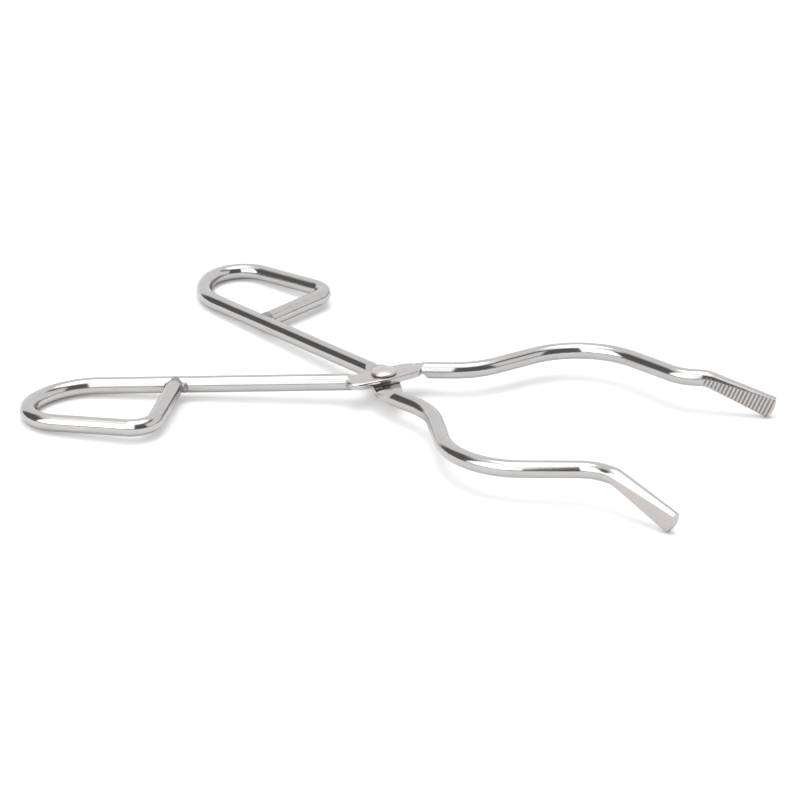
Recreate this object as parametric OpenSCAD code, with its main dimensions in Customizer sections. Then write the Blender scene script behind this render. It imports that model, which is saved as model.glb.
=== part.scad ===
// Crucible tongs: two bent steel rods that cross at a half-lapped, riveted pivot.
// Each rod ends in a welded D-shaped finger bow at one end and a pressed, toothed tip at the other.
// Frame: +X runs from the bows to the tips, +Z is up, and the tongs lie on z = 0 as they do on a table.

/* [Rod] */
// Diameter of the rod that both arms are bent from
rod_d = 5; // [4:0.5:6]

/* [Handles] */
// Straight length of the shank, from the pivot to the start of the bow
shank_len = 84; // [70:1:110]
// Distance of the shank's centre line from the pivot
shank_offset = 2.5; // [2.2:0.1:3.2]
// Radius of the wide bend that opens the bow
bow_wide_r = 20; // [17:0.5:24]
// Turn of the wide bend, in degrees
bow_wide_turn = 60; // [50:1:66]
// Radius of the tight bend round the end of the bow
bow_end_r = 11.2; // [9:0.2:13]
// Turn of the tight bend, in degrees
bow_end_turn = 109; // [104:1:116]
// Straight length on the outer side of the bow
bow_side_len = 21.8; // [15:0.2:30]
// Radius of the bow's corner
bow_corner_r = 6.5; // [5:0.1:8]
// Turn of the bow's corner, in degrees
bow_corner_turn = 93; // [86:1:98]

/* [Jaws] */
// Distance of the jaw's centre line from the pivot, where the jaw leaves the plate
jaw_offset = 6.1; // [5.4:0.1:6.8]
// Toe-in of the jaw where it leaves the plate, in degrees
jaw_toe_in = 2.8; // [0:0.2:5]
// Straight length of the jaw's root
root_len = 10.8; // [8:0.2:14]
// Radius of the bend that spreads the jaw
spread_r = 22.5; // [18:0.5:28]
// Turn of the bend that spreads the jaw, in degrees
spread_turn = 36; // [30:1:40]
// Straight length between the spreading bend and the belly
spread_len = 13; // [8:0.5:18]
// Radius of the jaw's belly
belly_r = 24; // [20:0.5:28]
// Turn of the jaw's belly, in degrees
belly_turn = 78.6; // [72:0.6:84]
// Straight length between the belly and the bend to the tip
reach_len = 14.9; // [10:0.1:18]
// Radius of the bend to the tip
toe_r = 12.4; // [9:0.2:16]
// Turn of the bend to the tip, in degrees
toe_turn = 37.4; // [34:0.2:42]
// Straight length between the bend to the tip and the drop
drop_gap = 1.6; // [0.6:0.2:4]
// Radius of the drop, where the tip bends down
drop_r = 8; // [6:0.5:12]
// Slope of the tip below the plane of the jaws, in degrees
drop_turn = 23.4; // [16:0.2:28]

/* [Tips] */
// Length of the pressed tip
tip_len = 20; // [16:0.2:26]
// Height of the tip at its end
tip_h = 7; // [6:0.1:8]
// Thickness of the tip at its end
tip_t = 2.7; // [2.2:0.1:3.4]
// Radius of the rounded edges at the tip's end
tip_edge_r = 0.8; // [0.5:0.1:1]
// Radius of the tip's rounded end, seen from the side
tip_end_r = 8; // [6:0.5:12]
// How far the pressed faces run back past the tip's root
press_lead = 4; // [1:0.5:4]
// Distance from tooth to tooth on the gripping face
tooth_pitch = 1.15; // [1:0.05:1.5]
// Depth of the grooves between the teeth
tooth_depth = 0.32; // [0.2:0.02:0.4]
// Number of grooves in each gripping face
tooth_count = 19; // [8:1:19]

/* [Pivot] */
// Thickness of each pressed plate of the half lap
plate_t = 2; // [1.6:0.1:2.4]
// Gap between the two plates
plate_gap = 0.06; // [0.04:0.02:0.12]
// Radius of the plate round the rivet
eye_r = 4.6; // [4.2:0.1:5.4]
// Radius of the plate's two end lobes
lobe_r = 3.9; // [3.5:0.1:4.5]
// Distance of each lobe from the rivet, along the arm
lobe_x = 7.2; // [6.5:0.1:8]
// Distance of each lobe from the rivet, across the arm
lobe_y = 4.2; // [3.8:0.1:4.6]
// Height of each rod's centre line above its own plate's inner face
rod_lift = 0.45; // [0.3:0.05:0.7]
// Distance from the pivot to the shank's shoulder on the outer face
shank_outer_shoulder = 10.2; // [9.8:0.1:11]
// Distance from the pivot to the shank's shoulder on the inner face
shank_inner_shoulder = 9.1; // [8.8:0.1:11]
// Distance from the pivot to the jaw's shoulder on the outer face
jaw_outer_shoulder = 11.2; // [10.8:0.1:12.5]
// Distance from the pivot to the jaw's shoulder on the inner face
jaw_inner_shoulder = 12.6; // [12.5:0.1:15]
// Slope of the shallow shoulder on the plate's outer face, in degrees
outer_ramp = 32; // [25:1:45]
// Slope of the deep shoulder on the plate's inner face, in degrees
inner_ramp = 52; // [45:1:60]

/* [Rivet] */
// Diameter of the rivet's shank
rivet_d = 4; // [3:0.1:4.6]
// Clearance round the rivet in the upper arm, which turns on it
rivet_clear = 0.05; // [0.02:0.01:0.1]
// Diameter of the rivet's domed head
head_d = 7.4; // [6.4:0.1:8.4]
// Height of the rivet's domed head
head_h = 1.7; // [1.3:0.1:2.2]
// Height of the upright edge of the head, up to the dome
head_edge = 0.8; // [0.5:0.1:0.9]
// Radius of the head's rounded underside edge
head_under_r = 0.4; // [0.2:0.05:0.45]
// Diameter of the rivet's clinched tail
tail_d = 6.6; // [5.8:0.1:7.4]
// Height of the rivet's clinched tail
tail_h = 1.2; // [0.8:0.1:1.6]
// Height of the upright edge of the tail, up to its dome
tail_edge = 0.4; // [0.3:0.1:0.6]

/* [Welds] */
// Radius of the weld bead in each corner between bow and shank
weld_r = 1.1; // [0.7:0.1:1.5]
// Height of the weld bead, less than the rod's diameter
weld_h = 3.4; // [2.4:0.2:3.6]
// How far the weld stands proud of the crossbar all round
weld_proud = 0.06; // [0.04:0.02:0.2]

/* [Pose] */
// Angle of each arm from the centre line as the tongs lie open, in degrees
half_opening = 23.7; // [6:0.1:30]

/* [Hidden] */
$fn = 64;
steel = [0.80, 0.79, 0.78];
rivet_steel = [0.86, 0.85, 0.84];
weld_steel = [0.62, 0.60, 0.59];
rod_r = rod_d / 2;
thin = 0.02;
// Each straight is this much slimmer than the bends, and reaches into them, so that every seam is clean
seam_step = 0.01;
seam_reach = 0.05;
// How far the press bites into the blank of the tip at its end, and how much longer the blank is than the tip
press_bite = 0.15;
tip_spare = 0.3;
// How far the belts of the plate's outline lie inside its circles
belt_inset = 0.02;
// A length that reaches right through the rod, the plate or the tip
through = 12;
// Where the crossbar ends and the weld begins, from the rod's surface and from the shank's centre line
weld_len = 0.7;
weld_face = rod_r + weld_len;

// Where each rod starts, inside the plate, past the middle of its lobe
shank_root = 0.8;
jaw_root = 1.8;
shank_start = lobe_x + shank_root;
jaw_start = lobe_x + jaw_root;
jaw_start_y = jaw_offset;

// Short straight between the two bends of the bow
bow_gap = 0.4;

// A bent rod is a list of [straight length, roll of the bend, turn of the bend, radius of the bend].
// A roll of 0 bends to the left, 180 to the right and -90 down.
shank_steps = [
    [shank_len - shank_start, 0, bow_wide_turn, bow_wide_r],
    [bow_gap, 0, bow_end_turn, bow_end_r],
    [bow_side_len, 0, bow_corner_turn, bow_corner_r]
];
jaw_steps = [
    [root_len, 0, spread_turn, spread_r],
    [spread_len, 180, belly_turn, belly_r],
    [reach_len, 0, toe_turn, toe_r]
];

// Place and heading, [x, y, angle], after one step or a whole list of steps in the plane of an arm
function side_of(s) = s[1] == 180 ? -1 : 1;
function after_straight(p, l) = [p[0] + l * cos(p[2]), p[1] + l * sin(p[2]), p[2]];
function after_bend(p, turn, r, side) =
    let (a = p[2] + side * turn)
    [p[0] + side * r * (sin(a) - sin(p[2])), p[1] - side * r * (cos(a) - cos(p[2])), a];
function after_step(p, s) = after_bend(after_straight(p, s[0]), s[2], s[3], side_of(s));
function after_steps(p, steps, i = 0) =
    i == len(steps) ? p : after_steps(after_step(p, steps[i]), steps, i + 1);

// Ends of the handle: where the bow's corner ends, and how long the crossbar is to the shank's centre line
bow_corner = after_steps([-shank_start, -shank_offset, 180], shank_steps);
crossbar_len = (-shank_offset - bow_corner[1]) / sin(bow_corner[2]);
weld_x = bow_corner[0] + crossbar_len * cos(bow_corner[2]);
crossbar_angle = bow_corner[2] - 360;

// Far end of the bow
bow_turned = after_straight(after_step([-shank_start, -shank_offset, 180], shank_steps[0]), bow_gap);
bow_centre = [bow_turned[0] - bow_end_r * sin(bow_turned[2]), bow_turned[1] + bow_end_r * cos(bow_turned[2])];
bow_reach = -bow_centre[0] + bow_end_r;

// Start and end of the pressed tip
toe_end = after_steps([jaw_start, jaw_start_y, -jaw_toe_in], jaw_steps);
drop_run = drop_gap + drop_r * sin(drop_turn);
drop_fall = drop_r * (1 - cos(drop_turn));
corner_drop = tip_end_r - sqrt(tip_end_r * tip_end_r - tip_h * tip_h / 4);
corner_back = tip_len - corner_drop;
corner_low = tip_h / 2 - (tip_h - rod_d) / 2 * corner_drop / tip_len;
tip_reach = drop_run + corner_back * cos(drop_turn) - corner_low * sin(drop_turn);
tip_fall = drop_fall + corner_back * sin(drop_turn) + corner_low * cos(drop_turn);
tip_end = after_straight(toe_end, tip_reach);

// Small sets that bring the rods of both arms to one height at the bows and at the tips
bow_set = atan(rod_lift / bow_reach);
tip_set = atan(rod_lift / tip_end[0]);

// The tongs lie on the bows' far ends and on the tips' lower corners
contact_bow = bow_centre[0] * cos(half_opening) - bow_centre[1] * sin(half_opening) - bow_end_r;
contact_tip = tip_end[0] * cos(half_opening) - tip_end[1] * sin(half_opening);
contact_span = norm([contact_tip - contact_bow, tip_fall]);
rest_tilt = atan2(tip_fall, contact_tip - contact_bow) - asin(rod_r / contact_span);
rest_z = rod_r - contact_bow * sin(rest_tilt);
tip_heading = toe_end[2] + half_opening;
tip_front = drop_run + (tip_len - tip_end_r) * cos(drop_turn) + tip_end_r;
front_fall = drop_fall + (tip_len - tip_end_r) * sin(drop_turn);
front_x = toe_end[0] * cos(half_opening) - toe_end[1] * sin(half_opening)
    + tip_front * cos(tip_heading) + tip_t / 2 * sin(tip_heading);
front_reach = front_x * cos(rest_tilt) + front_fall * sin(rest_tilt);
back_reach = rod_r - contact_bow * cos(rest_tilt);
rest_x = (back_reach - front_reach) / 2;

// Places the pivot, with its axis leaned back, so that the tongs lie on z = 0
module at_rest() {
    translate([rest_x, 0, rest_z]) rotate([0, -rest_tilt, 0]) children();
}

// Turns an arm open about the pivot; the lower arm is the upper one turned over
module opened(side) {
    rotate([0, 0, side * half_opening]) rotate([side > 0 ? 0 : 180, 0, 0]) children();
}

module straight_rod(l) {
    translate([-seam_reach, 0, 0]) rotate([0, 90, 0]) cylinder(r = rod_r - seam_step, h = l + 2 * seam_reach);
}

// A bend to the left that starts at the origin along +X
module bent_rod(turn, r) {
    translate([0, r, 0]) rotate([0, 0, -90]) rotate_extrude(angle = turn) translate([r, 0]) circle(d = rod_d);
}

// A chain of straights and bends from the origin along +X; what is given as children goes at its end
module rod_chain(steps, i = 0) {
    if (i < len(steps)) {
        s = steps[i];
        if (s[0] > 0) straight_rod(s[0]);
        translate([s[0], 0, 0]) rotate([s[1], 0, 0]) {
            bent_rod(s[2], s[3]);
            translate([s[3] * sin(s[2]), s[3] * (1 - cos(s[2])), 0]) rotate([0, 0, s[2]])
                rotate([-s[1], 0, 0]) rod_chain(steps, i + 1) children();
        }
    } else {
        children();
    }
}

// Section of the tip's end, before its two faces are pressed flat
module tip_end_section() {
    for (y = [-1, 1], z = [-1, 1])
        translate([0, y * (tip_t / 2 - tip_edge_r + press_bite), z * (tip_h / 2 - tip_edge_r)])
            rotate([0, 90, 0]) cylinder(r = tip_edge_r, h = thin, $fn = 32);
}

// Blank of the tip along +X, where the rod spreads upright
module tip_blank() {
    hull() {
        translate([-seam_reach, 0, 0]) rotate([0, 90, 0]) cylinder(r = rod_r - seam_step, h = thin);
        translate([tip_len + tip_spare, 0, 0]) tip_end_section();
    }
}

// What is taken off the blank: two flat faces, grooves in one of them, and the rounded end
module press_marks() {
    face_len = tip_len + press_lead;
    press_angle = atan((rod_r - tip_t / 2) / face_len);
    groove = tooth_depth * sqrt(2);
    for (y = [-1, 1])
        translate([-press_lead, y * rod_r, 0]) rotate([0, 0, -y * press_angle])
            translate([-tip_spare, y > 0 ? 0 : -through, -through / 2]) cube([face_len + through, through, through]);
    // Grooves between the teeth, on the face towards the other arm
    translate([-press_lead, -rod_r, 0]) rotate([0, 0, press_angle])
        for (i = [1:tooth_count])
            translate([face_len / cos(press_angle) - i * tooth_pitch, 0, 0]) rotate([0, 0, 45])
                cube([groove, groove, through], center = true);
    translate([tip_len - tip_end_r, 0, 0]) rotate([90, 0, 0]) linear_extrude(through, center = true)
        difference() {
            translate([0, -through / 2]) square([tip_end_r + through, through]);
            circle(r = tip_end_r, $fn = 128);
        }
}

// A circle at c2 and a belt that joins it to a circle at c1
module wrapped(c1, r1, c2, r2) {
    d = norm(c2 - c1);
    heading = atan2(c2[1] - c1[1], c2[0] - c1[0]);
    a = acos((r1 - r2) / d);
    translate(c2) circle(r = r2);
    polygon([
        for (p = [[c1, r1, a], [c2, r2, a], [c2, r2, -a], [c1, r1, -a]])
            p[0] + (p[1] - belt_inset) * [cos(heading + p[2]), sin(heading + p[2])]
    ]);
}

// Plan of the pressed plate: an eye round the rivet and a lobe towards each rod
module plate_outline() {
    circle(r = eye_r);
    wrapped([0, 0], eye_r, [-lobe_x, -lobe_y], lobe_r);
    wrapped([0, 0], eye_r, [lobe_x, lobe_y], lobe_r);
}

// Cuts a rod's end down to the plate: clears everything above the height h up to the shoulder,
// and slopes from there up past the rod's surface
module shoulder_cut(h, shoulder, ramp) {
    depth = rod_d + rod_lift;
    run = (depth - h) / tan(ramp);
    middle = (rod_r - h) / tan(ramp) / 2;
    rotate([90, 0, 0]) linear_extrude(2 * through, center = true)
        polygon([[0, h], [shoulder - middle, h], [shoulder - middle + run, depth], [0, depth]]);
}

// Both shoulders, [outer, inner], of a rod that leaves the plate along +X
module shoulder_cuts(shoulder) {
    shoulder_cut(plate_t - seam_reach, shoulder[0], outer_ramp);
    mirror([0, 0, 1]) shoulder_cut(-plate_gap / 2 - seam_reach, shoulder[1], inner_ramp);
}

// Shank and bow, from inside the plate round to the crossbar's end near the shank
module handle() {
    translate([0, 0, rod_lift]) rotate([0, -bow_set, 0])
        translate([-shank_start, -shank_offset, 0]) rotate([0, 0, 180])
            rod_chain(shank_steps) straight_rod(crossbar_len - weld_face - seam_reach);
}

// Jaw and tip; fall is 1 where the tip bends down and -1 where it bends up in the arm's own frame
module jaw(fall) {
    translate([0, 0, rod_lift]) rotate([0, tip_set, 0])
        translate([jaw_start, jaw_start_y, 0]) rotate([0, 0, -jaw_toe_in]) rod_chain(jaw_steps) difference() {
            rod_chain([[drop_gap, -fall * 90, drop_turn, drop_r]]) tip_blank();
            translate([drop_run, 0, -fall * drop_fall]) rotate([0, fall * drop_turn, 0]) press_marks();
        }
}

// One arm in its own frame: the pivot at the origin, its inner face at z = 0 and its plate above
module arm(fall) {
    difference() {
        union() {
            difference() {
                handle();
                mirror([1, 0, 0]) shoulder_cuts([shank_outer_shoulder, shank_inner_shoulder]);
            }
            difference() {
                jaw(fall);
                shoulder_cuts([jaw_outer_shoulder, jaw_inner_shoulder]);
            }
            translate([0, 0, plate_gap / 2]) linear_extrude(plate_t - plate_gap / 2) plate_outline();
        }
        children();
    }
}

module upper_arm() {
    color(steel) at_rest() opened(1) arm(1)
        translate([0, 0, -plate_t]) cylinder(d = rivet_d + 2 * rivet_clear, h = 3 * plate_t);
}

module lower_arm() {
    color(steel) at_rest() opened(-1) arm(-1)
        translate([0, 0, -plate_t]) cylinder(d = rivet_d, h = 3 * plate_t);
}

// Half section of a domed rivet end that stands on y = 0
module dome_section(d, h, edge, under_r) {
    rise = h - edge;
    dome_r = (d * d / 4 + rise * rise) / (2 * rise);
    difference() {
        intersection() {
            translate([0, h - dome_r]) circle(r = dome_r, $fn = 128);
            square([d / 2, h]);
        }
        difference() {
            translate([d / 2 - under_r, 0]) square(under_r);
            translate([d / 2 - under_r, under_r]) circle(r = under_r);
        }
    }
}

// Solid rivet: domed head on the upper plate, shank through both, clinched tail under the lower plate
module rivet() {
    head_seat = plate_t + plate_gap / 2;
    color(rivet_steel) at_rest() {
        translate([0, 0, head_seat]) rotate_extrude() dome_section(head_d, head_h, head_edge, head_under_r);
        translate([0, 0, -plate_t]) cylinder(d = rivet_d, h = plate_t + head_seat);
        translate([0, 0, -plate_t]) mirror([0, 0, 1])
            rotate_extrude() dome_section(tail_d, tail_h, tail_edge, tail_edge / 2);
    }
}

// Weld that joins the crossbar's end to the shank, with a bead in each corner between them
module bow_weld() {
    translate([0, 0, rod_lift]) rotate([0, -bow_set, 0]) translate([weld_x, -shank_offset, 0]) difference() {
        union() {
            rotate([0, 0, crossbar_angle + 180]) rotate([0, 90, 0]) cylinder(r = rod_r + weld_proud, h = weld_face);
            for (side = [-1, 1])
                translate([side * rod_r, -rod_r, -weld_h / 2]) cylinder(r = weld_r, h = weld_h);
        }
        translate([-2 * rod_d, 0, 0]) straight_rod(4 * rod_d);
        rotate([0, 0, crossbar_angle + 180]) translate([weld_face + seam_reach, 0, 0]) straight_rod(2 * rod_d);
    }
}

module upper_bow_weld() {
    color(weld_steel) at_rest() opened(1) bow_weld();
}

module lower_bow_weld() {
    color(weld_steel) at_rest() opened(-1) bow_weld();
}

upper_arm();
lower_arm();
rivet();
upper_bow_weld();
lower_bow_weld();
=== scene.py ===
"""Crucible tongs: bent rods, pressed plates, toothed tips, rivet and welds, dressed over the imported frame."""

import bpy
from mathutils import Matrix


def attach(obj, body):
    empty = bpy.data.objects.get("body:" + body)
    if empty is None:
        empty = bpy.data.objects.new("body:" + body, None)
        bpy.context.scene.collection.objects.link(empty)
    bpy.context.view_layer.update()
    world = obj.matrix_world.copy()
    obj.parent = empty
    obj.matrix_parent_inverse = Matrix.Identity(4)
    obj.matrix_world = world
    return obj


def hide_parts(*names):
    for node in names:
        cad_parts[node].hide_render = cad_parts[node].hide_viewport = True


bl_info = {
    "name": "Crucible tongs",
    "version": (1, 0, 0),
    "blender": (4, 5, 0),
    "location": "3D View > Sidebar > Tongs",
    "description": "Models and finishes a pair of riveted crucible tongs on their CAD frame",
    "category": "Object",
}

import math

import bpy
import numpy as np
from bpy.props import FloatProperty, FloatVectorProperty, IntProperty, PointerProperty
from mathutils import Matrix, Vector

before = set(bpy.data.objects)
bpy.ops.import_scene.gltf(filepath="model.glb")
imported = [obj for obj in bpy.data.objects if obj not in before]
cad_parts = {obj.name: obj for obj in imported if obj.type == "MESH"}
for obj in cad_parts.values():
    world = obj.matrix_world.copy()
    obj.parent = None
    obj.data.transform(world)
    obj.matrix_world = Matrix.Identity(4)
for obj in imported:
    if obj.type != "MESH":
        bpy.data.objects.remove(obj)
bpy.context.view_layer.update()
MM = 0.001

# How finely the steel is made
ROUND = 48                        # points round a rod
BOSS_ROUND = 72                   # points round the plate's bosses and the rivet
BORE_ROUND = 64                   # points round a bore and round a weld's plug
BEND_STEP = math.radians(3)       # turn in one step of a bend
LEAST_STEPS = 6                   # fewest steps in a bend
DROP_STEPS = 10                   # steps of the bend behind the tip
TIP_STEPS = 10                    # steps along the tip's blank
END_CUTS = 5                      # flat cuts on each side of the middle of the tip's end
END_CUT_TURN = math.radians(5.5)  # turn from one of these cuts to the next
DOME_STEPS = 8                    # steps up the dome of the rivet's head and tail
MERGE = 0.01 * MM                 # points nearer than this are one
ARM_CREASE = math.radians(24)     # edges of an arm sharper than this stay sharp
RIVET_CREASE = math.radians(50)   # the same for the rivet
GRAIN_STEP = 0.5 * MM             # spacing of the points that the grain follows
GRAIN_BATCH = 4000                # points of the mesh that are looked at in one go

# Blocks that cut and press
CLEAR = 1 * MM                    # how far a block passes the steel
SUNK = 0.05 * MM                  # how far below the plate's face the rod is pressed
PRESS_HALF = 15 * MM              # half the width of the blocks over the plate
DIE = 12 * MM                     # height and depth of the blocks at the tip

# Small lengths that the eye hardly sees
SHANK_ROOT = 0.8 * MM             # from a lobe's centre to the start of the shank's rod, inside the plate
JAW_ROOT = 1.8 * MM               # the same for the jaw's rod
TURNING_PLAY = 0.05 * MM          # round the rivet in the upper arm, which turns on it
HOLDING_PLAY = 0.01 * MM          # round the rivet in the lower arm, which holds it
HEAD_UNDER = 0.4 * MM             # rounding under the rivet's head
TAIL_EDGE = 0.4 * MM              # upright edge of its tail
TAIL_UNDER = 0.2 * MM             # rounding of the tail next to the plate
DOME_LIP = 0.08 * MM              # where the upright edge turns into the dome
WELD_PROUD = 0.06 * MM            # how far a weld's plug stands over the rod
WELD_EDGE = 0.1 * MM              # bevel on the plug's end
BEAD_STRETCH = 1.5                # height of a bead over its width
WELD_GRAIN = 0.14 * MM            # fineness of the molten shape
WELD_FLOW = 4                     # how often it is smoothed

# The finish
GRAIN_SHADE = 0.90                # colour in the handling marks over the colour beside them
SATIN_ROUGH = 0.16                # added roughness where the press has been
GROOVE_ROUGH = 0.20               # added roughness in grooves
GROOVE_REACH = 1.2 * MM           # how near steel has to be to make a groove
FINE_BUMP = (0.18, 0.02 * MM)     # strength and depth of the polishing lines
BROAD_BUMP = (0.35, 0.25 * MM)    # strength and depth of the rod's waviness


# sizes and colours

class TongsRodSizes(bpy.types.PropertyGroup):
    rod_d: FloatProperty(name="Rod diameter", default=0.005, unit="LENGTH",
        description="Diameter of the rod both arms are bent from")
    shank_len: FloatProperty(name="Shank", default=0.084, unit="LENGTH",
        description="From the pivot to the start of the bow")
    shank_offset: FloatProperty(name="Shank offset", default=0.0025, unit="LENGTH",
        description="Shank's centre line to the pivot")
    bow_wide_r: FloatProperty(name="Bow wide radius", default=0.020, unit="LENGTH",
        description="Radius of the bend that opens the bow")
    bow_wide_turn: FloatProperty(name="Bow wide turn", default=math.radians(60), subtype="ANGLE",
        description="Turn of the bend that opens the bow")
    bow_gap: FloatProperty(name="Bow gap", default=0.0004, unit="LENGTH",
        description="Short straight between the bow's two bends")
    bow_end_r: FloatProperty(name="Bow end radius", default=0.0112, unit="LENGTH",
        description="Radius round the end of the bow")
    bow_end_turn: FloatProperty(name="Bow end turn", default=math.radians(109), subtype="ANGLE",
        description="Turn round the end of the bow")
    bow_side_len: FloatProperty(name="Bow side", default=0.0218, unit="LENGTH",
        description="Straight on the outer side of the bow")
    bow_corner_r: FloatProperty(name="Bow corner radius", default=0.0065, unit="LENGTH",
        description="Radius of the bow's corner")
    bow_corner_turn: FloatProperty(name="Bow corner turn", default=math.radians(93), subtype="ANGLE",
        description="Turn of the bow's corner")
    jaw_offset: FloatProperty(name="Jaw offset", default=0.0061, unit="LENGTH",
        description="Jaw's centre line to the pivot at the plate")
    jaw_toe_in: FloatProperty(name="Jaw toe-in", default=math.radians(2.8), subtype="ANGLE",
        description="Toe-in of the jaw at the plate")
    root_len: FloatProperty(name="Jaw root", default=0.0108, unit="LENGTH",
        description="Straight length of the jaw's root")
    spread_r: FloatProperty(name="Spread radius", default=0.0225, unit="LENGTH",
        description="Radius of the bend that spreads the jaw")
    spread_turn: FloatProperty(name="Spread turn", default=math.radians(36), subtype="ANGLE",
        description="Turn of the bend that spreads the jaw")
    spread_len: FloatProperty(name="Spread straight", default=0.013, unit="LENGTH",
        description="Straight between the spread and the belly")
    belly_r: FloatProperty(name="Belly radius", default=0.024, unit="LENGTH", description="Radius of the jaw's belly")
    belly_turn: FloatProperty(name="Belly turn", default=math.radians(78.6), subtype="ANGLE",
        description="Turn of the jaw's belly")
    reach_len: FloatProperty(name="Reach", default=0.0149, unit="LENGTH",
        description="Straight between the belly and the toe")
    toe_r: FloatProperty(name="Toe radius", default=0.0124, unit="LENGTH",
        description="Radius of the bend to the tip")
    toe_turn: FloatProperty(name="Toe turn", default=math.radians(37.4), subtype="ANGLE",
        description="Turn of the bend to the tip")
    drop_gap: FloatProperty(name="Drop gap", default=0.0016, unit="LENGTH",
        description="Straight before the tip bends down")
    drop_r: FloatProperty(name="Drop radius", default=0.008, unit="LENGTH",
        description="Radius where the tip bends down")
    drop_turn: FloatProperty(name="Drop", default=math.radians(23.4), subtype="ANGLE", description="Slope of the tip")
    rod_lift: FloatProperty(name="Rod lift", default=0.00045, unit="LENGTH",
        description="Rod's centre line over its plate's inner face")


class TongsTipSizes(bpy.types.PropertyGroup):
    tip_len: FloatProperty(name="Tip length", default=0.020, unit="LENGTH", description="Length of the pressed tip")
    tip_h: FloatProperty(name="Tip height", default=0.007, unit="LENGTH", description="Height of the tip at its end")
    tip_t: FloatProperty(name="Tip thickness", default=0.0027, unit="LENGTH",
        description="Thickness of the tip at its end")
    tip_end_r: FloatProperty(name="Tip end radius", default=0.008, unit="LENGTH",
        description="Radius of the rounded end, seen from the side")
    tip_spare: FloatProperty(name="Tip spare", default=0.0003, unit="LENGTH",
        description="Extra length of the blank before its end is rounded")
    press_lead: FloatProperty(name="Press lead", default=0.004, unit="LENGTH",
        description="How far the pressed faces run back past the tip's root")
    tooth_pitch: FloatProperty(name="Tooth pitch", default=0.00115, unit="LENGTH", description="From tooth to tooth")
    tooth_depth: FloatProperty(name="Tooth depth", default=0.00032, unit="LENGTH", description="Depth of the grooves")
    tooth_count: IntProperty(name="Grooves", default=19, description="Number of grooves in each gripping face")


class TongsJointSizes(bpy.types.PropertyGroup):
    plate_t: FloatProperty(name="Plate thickness", default=0.002, unit="LENGTH",
        description="Thickness of each pressed plate")
    plate_gap: FloatProperty(name="Plate gap", default=0.00006, unit="LENGTH",
        description="Gap between the two plates")
    plate_round: FloatProperty(name="Plate rounding", default=0.00055, unit="LENGTH",
        description="Rounding of the plate's outer edge")
    eye_r: FloatProperty(name="Eye radius", default=0.0046, unit="LENGTH",
        description="Radius of the plate round the rivet")
    lobe_r: FloatProperty(name="Lobe radius", default=0.0039, unit="LENGTH",
        description="Radius of the plate's end lobes")
    lobe_x: FloatProperty(name="Lobe along", default=0.0072, unit="LENGTH",
        description="Lobe's distance along the arm")
    lobe_y: FloatProperty(name="Lobe across", default=0.0042, unit="LENGTH",
        description="Lobe's distance across the arm")
    shank_outer: FloatProperty(name="Shank outer shoulder", default=0.0102, unit="LENGTH",
        description="Pivot to the shank's outer shoulder")
    shank_inner: FloatProperty(name="Shank inner shoulder", default=0.0091, unit="LENGTH",
        description="Pivot to the shank's inner shoulder")
    jaw_outer: FloatProperty(name="Jaw outer shoulder", default=0.0112, unit="LENGTH",
        description="Pivot to the jaw's outer shoulder")
    jaw_inner: FloatProperty(name="Jaw inner shoulder", default=0.0126, unit="LENGTH",
        description="Pivot to the jaw's inner shoulder")
    outer_ramp: FloatProperty(name="Outer ramp", default=math.radians(32), subtype="ANGLE",
        description="Slope of the outer shoulder")
    inner_ramp: FloatProperty(name="Inner ramp", default=math.radians(52), subtype="ANGLE",
        description="Slope of the inner shoulder")
    rivet_d: FloatProperty(name="Rivet shank", default=0.004, unit="LENGTH",
        description="Diameter of the rivet's shank")
    head_d: FloatProperty(name="Rivet head", default=0.0074, unit="LENGTH", description="Diameter of the domed head")
    head_h: FloatProperty(name="Head height", default=0.0017, unit="LENGTH", description="Height of the domed head")
    head_edge: FloatProperty(name="Head edge", default=0.0008, unit="LENGTH",
        description="Height of the head's upright edge")
    tail_d: FloatProperty(name="Rivet tail", default=0.0066, unit="LENGTH",
        description="Diameter of the clinched tail")
    tail_h: FloatProperty(name="Tail height", default=0.0012, unit="LENGTH",
        description="Height of the clinched tail")
    weld_r: FloatProperty(name="Weld bead", default=0.0011, unit="LENGTH",
        description="Radius of the bead in each corner")
    weld_face: FloatProperty(name="Weld length", default=0.0032, unit="LENGTH",
        description="From the shank's centre line to the crossbar's end")
    half_opening: FloatProperty(name="Half opening", default=math.radians(23.7), subtype="ANGLE",
        description="Angle of each arm from the centre line")


class TongsFinish(bpy.types.PropertyGroup):
    steel: FloatVectorProperty(name="Steel", subtype="COLOR", size=3, default=(0.60, 0.585, 0.575),
        description="Colour of the polished rod")
    pressed_steel: FloatVectorProperty(name="Pressed steel", subtype="COLOR", size=3, default=(0.60, 0.575, 0.56),
        description="Colour of the satin plates and tips")
    # Painted shade: this darker colour is mixed in where ambient occlusion finds grooves, seams and corners
    groove_shade_colour: FloatVectorProperty(name="Painted groove shade colour", subtype="COLOR", size=3, default=(0.38, 0.365, 0.355),
        description="Colour of the steel in grooves and seams")
    rivet_steel: FloatVectorProperty(name="Rivet steel", subtype="COLOR", size=3, default=(0.68, 0.65, 0.64),
        description="Colour of the rivet")
    # Painted shade: the welds are coloured much darker than the rod to stand for the shade in the corner between
    # crossbar and shank
    shaded_weld_steel: FloatVectorProperty(name="Shaded weld steel", subtype="COLOR", size=3, default=(0.36, 0.345, 0.335),
        description="Colour of the ground welds")
    rod_rough: FloatVectorProperty(name="Rod roughness", size=2, default=(0.09, 0.15),
        description="From the fine to the coarse grain")
    rivet_rough: FloatVectorProperty(name="Rivet roughness", size=2, default=(0.26, 0.36),
        description="From the fine to the coarse grain")
    weld_rough: FloatVectorProperty(name="Weld roughness", size=2, default=(0.30, 0.45),
        description="From the fine to the coarse grain")


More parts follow.
